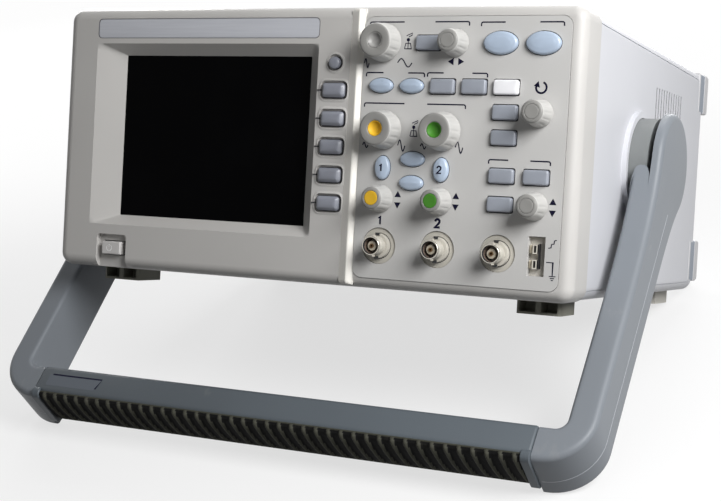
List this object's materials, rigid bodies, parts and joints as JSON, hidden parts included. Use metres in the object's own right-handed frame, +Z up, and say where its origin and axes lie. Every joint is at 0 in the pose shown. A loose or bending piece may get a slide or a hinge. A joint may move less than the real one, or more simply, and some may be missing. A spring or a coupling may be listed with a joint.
{
  "type": "oscilloscope",
  "caption": "Bench oscilloscope with dark screen, softkeys, knobs, coaxial sockets and a swinging carrying handle that props it up tilted.",
  "frame": {"origin": "middle of the bounding box's bottom face, on the floor under the tilted scope", "axes": "+X to the right as seen by a user, +Y from the user to the back, +Z up"},
  "size_m": [0.347, 0.3512, 0.2215],
  "materials": {
    "bezel_grey": "fine satin texture",
    "panel_grey": "fine satin texture",
    "screen_glass": "polished",
    "lcd_metal": "satin",
    "case_white": "fine satin texture",
    "board_green": "satin",
    "dark_plastic": "satin",
    "supply_tan": "satin",
    "nickel": "bright nickel plating",
    "insulator_cream": "smooth",
    "contact_brass": "bright",
    "foot_rubber": "matte",
    "bumper_plastic": "satin",
    "handle_grey": "fine satin texture",
    "bar_dark": "fine satin texture",
    "grip_rubber": "matte",
    "screw_steel": "satin",
    "shaft_metal": "turned",
    "knob_grey": "satin",
    "oval_blue": "translucent satin",
    "auto_white": "satin",
    "softkey_grey": "satin",
    "key_grey": "satin"
  },
  "bodies": {
    "case": {"front_bezel": "bezel_grey", "control_panel": "panel_grey", "display_window": "screen_glass", "lcd_module": "lcd_metal", "cabinet": "case_white", "rear_panel": "case_white", "key_board": "board_green", "encoder_bodies": "dark_plastic", "main_board": "board_green", "power_supply": "supply_tan", "fan_frame": "dark_plastic", "mains_inlet": "dark_plastic", "bnc_shells": "nickel", "bnc_insulators": "insulator_cream", "bnc_contacts": "contact_brass", "probe_terminals": "nickel", "feet": "foot_rubber", "rear_bumpers": "bumper_plastic", "handle_hubs": "handle_grey", "screws": "screw_steel"},
    "handle": {"handle_arm_left": "handle_grey", "handle_arm_right": "handle_grey", "handle_crossbar": "bar_dark", "handle_grip": "grip_rubber"},
    "fan_rotor": {"fan_rotor": "dark_plastic"},
    "horizontal_scale_shaft": {"horizontal_scale_shaft": "shaft_metal"},
    "horizontal_scale_knob": {"horizontal_scale_knob": "knob_grey"},
    "ch1_scale_shaft": {"ch1_scale_shaft": "shaft_metal"},
    "ch1_scale_knob": {"ch1_scale_knob": "knob_grey"},
    "ch2_scale_shaft": {"ch2_scale_shaft": "shaft_metal"},
    "ch2_scale_knob": {"ch2_scale_knob": "knob_grey"},
    "horizontal_position_knob": {"horizontal_position_knob": "knob_grey"},
    "entry_knob": {"entry_knob": "knob_grey"},
    "ch1_position_knob": {"ch1_position_knob": "knob_grey"},
    "ch2_position_knob": {"ch2_position_knob": "knob_grey"},
    "trigger_level_knob": {"trigger_level_knob": "knob_grey"},
    "menu_button": {"menu_button": "key_grey"},
    "softkey_1": {"softkey_1": "softkey_grey"},
    "softkey_2": {"softkey_2": "softkey_grey"},
    "softkey_3": {"softkey_3": "softkey_grey"},
    "softkey_4": {"softkey_4": "softkey_grey"},
    "softkey_5": {"softkey_5": "softkey_grey"},
    "power_button": {"power_button": "key_grey"},
    "main_delayed_button": {"main_delayed_button": "key_grey"},
    "run_stop_button": {"run_stop_button": "oval_blue"},
    "single_button": {"single_button": "oval_blue"},
    "cursors_button": {"cursors_button": "oval_blue"},
    "measure_button": {"measure_button": "oval_blue"},
    "acquire_button": {"acquire_button": "key_grey"},
    "display_button": {"display_button": "key_grey"},
    "auto_scale_button": {"auto_scale_button": "auto_white"},
    "save_recall_button": {"save_recall_button": "key_grey"},
    "utility_button": {"utility_button": "key_grey"},
    "ch1_button": {"ch1_button": "oval_blue"},
    "ch2_button": {"ch2_button": "oval_blue"},
    "math_button": {"math_button": "oval_blue"},
    "ref_button": {"ref_button": "oval_blue"},
    "force_button": {"force_button": "key_grey"},
    "mode_coupling_button": {"mode_coupling_button": "key_grey"},
    "fifty_percent_button": {"fifty_percent_button": "key_grey"}
  },
  "joints": [
    {"name": "handle_swing", "type": "hinge", "parent": "case", "child": "handle", "pos_m": [0, -0.00524, 0.1204], "axis": [-1, 0, 0], "range_deg": [0, 195]},
    {"name": "horizontal_scale_push", "type": "slide", "parent": "case", "child": "horizontal_scale_shaft", "axis": [0, 0.945, -0.3272], "range_m": [0, 0.0008], "stiffness_N_per_m": 2000, "springref_m": -0.0004},
    {"name": "horizontal_scale_turn", "type": "hinge", "parent": "horizontal_scale_shaft", "child": "horizontal_scale_knob", "pos_m": [0.0465, -0.09215, 0.20711], "axis": [0, -0.945, 0.3272], "continuous": true},
    {"name": "ch1_scale_push", "type": "slide", "parent": "case", "child": "ch1_scale_shaft", "axis": [0, 0.945, -0.3272], "range_m": [0, 0.0008], "stiffness_N_per_m": 2000, "springref_m": -0.0004},
    {"name": "ch1_scale_turn", "type": "hinge", "parent": "ch1_scale_shaft", "child": "ch1_scale_knob", "pos_m": [0.0492, -0.10668, 0.16516], "axis": [0, -0.945, 0.3272], "continuous": true},
    {"name": "ch2_scale_push", "type": "slide", "parent": "case", "child": "ch2_scale_shaft", "axis": [0, 0.945, -0.3272], "range_m": [0, 0.0008], "stiffness_N_per_m": 2000, "springref_m": -0.0004},
    {"name": "ch2_scale_turn", "type": "hinge", "parent": "ch2_scale_shaft", "child": "ch2_scale_knob", "pos_m": [0.0816, -0.10668, 0.16516], "axis": [0, -0.945, 0.3272], "continuous": true},
    {"name": "horizontal_position_turn", "type": "hinge", "parent": "case", "child": "horizontal_position_knob", "pos_m": [0.086, -0.09215, 0.20711], "axis": [0, -0.945, 0.3272], "continuous": true},
    {"name": "entry_turn", "type": "hinge", "parent": "case", "child": "entry_knob", "pos_m": [0.132, -0.10334, 0.1748], "axis": [0, -0.945, 0.3272], "continuous": true},
    {"name": "ch1_position_turn", "type": "hinge", "parent": "case", "child": "ch1_position_knob", "pos_m": [0.0492, -0.11816, 0.13199], "axis": [0, -0.945, 0.3272], "continuous": true},
    {"name": "ch2_position_turn", "type": "hinge", "parent": "case", "child": "ch2_position_knob", "pos_m": [0.0816, -0.11816, 0.13199], "axis": [0, -0.945, 0.3272], "continuous": true},
    {"name": "trigger_level_turn", "type": "hinge", "parent": "case", "child": "trigger_level_knob", "pos_m": [0.132, -0.11816, 0.13199], "axis": [0, -0.945, 0.3272], "continuous": true},
    {"name": "menu_button_press", "type": "slide", "parent": "case", "child": "menu_button", "axis": [0, 0.945, -0.3272], "range_m": [0, 0.001], "stiffness_N_per_m": 1500, "springref_m": -0.0003},
    {"name": "softkey_1_press", "type": "slide", "parent": "case", "child": "softkey_1", "axis": [0, 0.945, -0.3272], "range_m": [0, 0.001], "stiffness_N_per_m": 1500, "springref_m": -0.0003},
    {"name": "softkey_2_press", "type": "slide", "parent": "case", "child": "softkey_2", "axis": [0, 0.945, -0.3272], "range_m": [0, 0.001], "stiffness_N_per_m": 1500, "springref_m": -0.0003},
    {"name": "softkey_3_press", "type": "slide", "parent": "case", "child": "softkey_3", "axis": [0, 0.945, -0.3272], "range_m": [0, 0.001], "stiffness_N_per_m": 1500, "springref_m": -0.0003},
    {"name": "softkey_4_press", "type": "slide", "parent": "case", "child": "softkey_4", "axis": [0, 0.945, -0.3272], "range_m": [0, 0.001], "stiffness_N_per_m": 1500, "springref_m": -0.0003},
    {"name": "softkey_5_press", "type": "slide", "parent": "case", "child": "softkey_5", "axis": [0, 0.945, -0.3272], "range_m": [0, 0.001], "stiffness_N_per_m": 1500, "springref_m": -0.0003},
    {"name": "power_button_press", "type": "slide", "parent": "case", "child": "power_button", "axis": [0, 0.945, -0.3272], "range_m": [0, 0.0018], "stiffness_N_per_m": 1500, "springref_m": -0.0003},
    {"name": "main_delayed_button_press", "type": "slide", "parent": "case", "child": "main_delayed_button", "axis": [0, 0.945, -0.3272], "range_m": [0, 0.001], "stiffness_N_per_m": 1500, "springref_m": -0.0003},
    {"name": "run_stop_button_press", "type": "slide", "parent": "case", "child": "run_stop_button", "axis": [0, 0.945, -0.3272], "range_m": [0, 0.001], "stiffness_N_per_m": 1500, "springref_m": -0.0003},
    {"name": "single_button_press", "type": "slide", "parent": "case", "child": "single_button", "axis": [0, 0.945, -0.3272], "range_m": [0, 0.001], "stiffness_N_per_m": 1500, "springref_m": -0.0003},
    {"name": "cursors_button_press", "type": "slide", "parent": "case", "child": "cursors_button", "axis": [0, 0.945, -0.3272], "range_m": [0, 0.001], "stiffness_N_per_m": 1500, "springref_m": -0.0003},
    {"name": "measure_button_press", "type": "slide", "parent": "case", "child": "measure_button", "axis": [0, 0.945, -0.3272], "range_m": [0, 0.001], "stiffness_N_per_m": 1500, "springref_m": -0.0003},
    {"name": "acquire_button_press", "type": "slide", "parent": "case", "child": "acquire_button", "axis": [0, 0.945, -0.3272], "range_m": [0, 0.001], "stiffness_N_per_m": 1500, "springref_m": -0.0003},
    {"name": "display_button_press", "type": "slide", "parent": "case", "child": "display_button", "axis": [0, 0.945, -0.3272], "range_m": [0, 0.001], "stiffness_N_per_m": 1500, "springref_m": -0.0003},
    {"name": "auto_scale_button_press", "type": "slide", "parent": "case", "child": "auto_scale_button", "axis": [0, 0.945, -0.3272], "range_m": [0, 0.001], "stiffness_N_per_m": 1500, "springref_m": -0.0003},
    {"name": "save_recall_button_press", "type": "slide", "parent": "case", "child": "save_recall_button", "axis": [0, 0.945, -0.3272], "range_m": [0, 0.001], "stiffness_N_per_m": 1500, "springref_m": -0.0003},
    {"name": "utility_button_press", "type": "slide", "parent": "case", "child": "utility_button", "axis": [0, 0.945, -0.3272], "range_m": [0, 0.001], "stiffness_N_per_m": 1500, "springref_m": -0.0003},
    {"name": "ch1_button_press", "type": "slide", "parent": "case", "child": "ch1_button", "axis": [0, 0.945, -0.3272], "range_m": [0, 0.001], "stiffness_N_per_m": 1500, "springref_m": -0.0003},
    {"name": "ch2_button_press", "type": "slide", "parent": "case", "child": "ch2_button", "axis": [0, 0.945, -0.3272], "range_m": [0, 0.001], "stiffness_N_per_m": 1500, "springref_m": -0.0003},
    {"name": "math_button_press", "type": "slide", "parent": "case", "child": "math_button", "axis": [0, 0.945, -0.3272], "range_m": [0, 0.001], "stiffness_N_per_m": 1500, "springref_m": -0.0003},
    {"name": "ref_button_press", "type": "slide", "parent": "case", "child": "ref_button", "axis": [0, 0.945, -0.3272], "range_m": [0, 0.001], "stiffness_N_per_m": 1500, "springref_m": -0.0003},
    {"name": "force_button_press", "type": "slide", "parent": "case", "child": "force_button", "axis": [0, 0.945, -0.3272], "range_m": [0, 0.001], "stiffness_N_per_m": 1500, "springref_m": -0.0003},
    {"name": "mode_coupling_button_press", "type": "slide", "parent": "case", "child": "mode_coupling_button", "axis": [0, 0.945, -0.3272], "range_m": [0, 0.001], "stiffness_N_per_m": 1500, "springref_m": -0.0003},
    {"name": "fifty_percent_button_press", "type": "slide", "parent": "case", "child": "fifty_percent_button", "axis": [0, 0.945, -0.3272], "range_m": [0, 0.001], "stiffness_N_per_m": 1500, "springref_m": -0.0003},
    {"name": "fan_spin", "type": "hinge", "parent": "case", "child": "fan_rotor", "pos_m": [0.07, 0.11837, 0.07549], "axis": [0, -0.945, 0.3272], "continuous": true}
  ]
}
